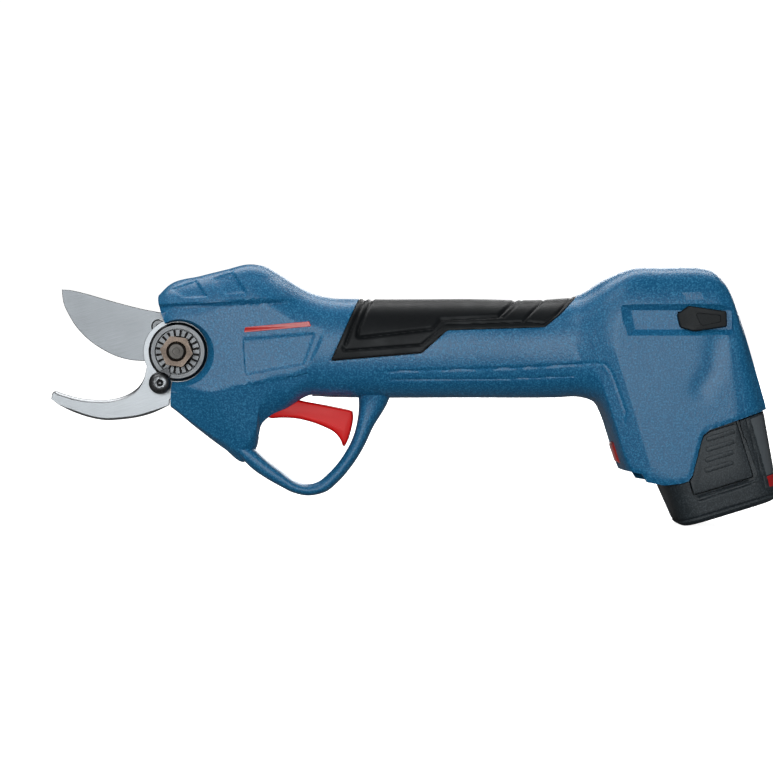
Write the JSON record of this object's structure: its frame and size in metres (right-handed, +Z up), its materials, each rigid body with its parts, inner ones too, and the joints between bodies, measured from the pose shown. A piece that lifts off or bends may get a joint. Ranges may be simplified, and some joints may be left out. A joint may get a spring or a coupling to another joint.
{
  "type": "battery electric pruner",
  "caption": "Handheld battery pruner: hooked fixed blade and driven cutting blade on one pivot, trigger inside a finger guard, soft grip, thumb power slider and slide-in battery pack.",
  "frame": {"origin": "under the middle of the whole tool, at the height of the battery foot", "axes": "+X from the blades to the battery, +Y away from the nut side, +Z up"},
  "size_m": [0.3304, 0.0526, 0.1194],
  "materials": {
    "aluminium": "turned",
    "battery_black": "satin black",
    "blade_steel": "ground steel",
    "board_green": "circuit board",
    "body_blue": "satin moulded, grained",
    "bronze": "sintered bronze",
    "cell_wrap": "heat-shrink sleeve",
    "dark_steel": "blackened steel",
    "gear_steel": "hardened steel",
    "grip_black": "soft overmoulded rubber",
    "lens_smoke": "smoked lens",
    "nut_bronze": "bronze-tinted steel",
    "trigger_red": "satin red",
    "wire_black": "wire sleeve",
    "wire_red": "wire sleeve"
  },
  "bodies": {
    "housing": {"battery_lead_1": "wire_red", "battery_lead_2": "wire_black", "blade_screw": "dark_steel", "capacitor": "cell_wrap", "control_board": "board_green", "cover_disc": "aluminium", "gear_frame": "aluminium", "grip_left": "grip_black", "grip_right": "grip_black", "housing_left": "body_blue", "housing_right": "body_blue", "housing_screw_1": "dark_steel", "housing_screw_2": "dark_steel", "housing_screw_3": "dark_steel", "housing_screw_4": "dark_steel", "housing_screw_5": "dark_steel", "lock_ring": "dark_steel", "lock_screw": "dark_steel", "lock_tab": "dark_steel", "lower_blade": "blade_steel", "motor_can": "dark_steel", "motor_flange": "aluminium", "motor_front_bearing": "gear_steel", "motor_rear_bearing": "gear_steel", "motor_stator": "dark_steel", "output_bearing": "gear_steel", "phase_wire_1": "wire_red", "phase_wire_2": "wire_black", "phase_wire_3": "cell_wrap", "pivot_bolt": "dark_steel", "pivot_bush": "bronze", "pivot_nut": "nut_bronze", "ring_gear": "gear_steel", "sensor_board": "board_green", "status_window": "lens_smoke", "terminal_block": "grip_black", "trigger_pin": "gear_steel", "trigger_spring": "gear_steel"},
    "blade": {"upper_blade": "blade_steel", "drive_peg": "dark_steel", "sector_gear": "gear_steel"},
    "output": {"output_shaft": "gear_steel", "bevel_pinion": "gear_steel", "planet_carrier": "gear_steel"},
    "planet_1": {"planet_gear_1": "gear_steel"},
    "planet_2": {"planet_gear_2": "gear_steel"},
    "planet_3": {"planet_gear_3": "gear_steel"},
    "motor": {"motor_rotor": "gear_steel", "motor_shaft": "gear_steel", "sun_gear": "gear_steel"},
    "trigger_lever": {"trigger": "trigger_red", "trigger_magnet": "gear_steel"},
    "slider": {"power_slider": "grip_black"},
    "battery": {"battery_case": "battery_black", "cell_1": "cell_wrap", "cell_2": "cell_wrap", "cell_3": "cell_wrap", "pack_contacts": "battery_black"},
    "button_left": {"battery_button_left": "battery_black"},
    "button_right": {"battery_button_right": "battery_black"}
  },
  "joints": [
    {"name": "blade_pivot", "type": "hinge", "parent": "housing", "child": "blade", "pos_m": [-0.10699, 0, 0.0792], "axis": [0, -1, 0], "range_deg": [0, 47]},
    {"name": "output_spin", "type": "hinge", "parent": "housing", "child": "output", "pos_m": [-0.10699, 0, 0.0792], "axis": [1, 0, 0], "range_deg": [-1, 189]},
    {"name": "motor_spin", "type": "hinge", "parent": "housing", "child": "motor", "pos_m": [-0.10699, 0, 0.0792], "axis": [1, 0, 0], "range_deg": [-2, 848]},
    {"name": "planet_1_spin", "type": "hinge", "parent": "output", "child": "planet_1", "pos_m": [-0.10699, 0.00894, 0.0792], "axis": [1, 0, 0], "range_deg": [-528, 1]},
    {"name": "planet_2_spin", "type": "hinge", "parent": "output", "child": "planet_2", "pos_m": [-0.10699, -0.00447, 0.08694], "axis": [1, 0, 0], "range_deg": [-528, 1]},
    {"name": "planet_3_spin", "type": "hinge", "parent": "output", "child": "planet_3", "pos_m": [-0.10699, -0.00447, 0.07146], "axis": [1, 0, 0], "range_deg": [-528, 1]},
    {"name": "trigger_pull", "type": "hinge", "parent": "housing", "child": "trigger_lever", "pos_m": [-0.06499, 0, 0.0532], "axis": [0, -1, 0], "range_deg": [0, 7], "stiffness_Nm_per_rad": 0.05, "springref_deg": -6.88},
    {"name": "power_slide", "type": "slide", "parent": "housing", "child": "slider", "axis": [-1, 0, 0], "range_m": [0, 0.008]},
    {"name": "battery_slide", "type": "slide", "parent": "housing", "child": "battery", "axis": [0.2924, 0, -0.9563], "range_m": [0, 0.06]},
    {"name": "button_left_press", "type": "slide", "parent": "battery", "child": "button_left", "axis": [0, 1, 0], "range_m": [0, 0.0012], "stiffness_N_per_m": 200, "springref_m": -0.001},
    {"name": "button_right_press", "type": "slide", "parent": "battery", "child": "button_right", "axis": [0, -1, 0], "range_m": [0, 0.0012], "stiffness_N_per_m": 200, "springref_m": -0.001}
  ],
  "couplings": [
    {"joint": "output_spin", "follows": "blade_pivot", "ratio": 4},
    {"joint": "motor_spin", "follows": "blade_pivot", "ratio": 18},
    {"joint": "planet_1_spin", "follows": "blade_pivot", "ratio": -11.2},
    {"joint": "planet_2_spin", "follows": "blade_pivot", "ratio": -11.2},
    {"joint": "planet_3_spin", "follows": "blade_pivot", "ratio": -11.2}
  ]
}
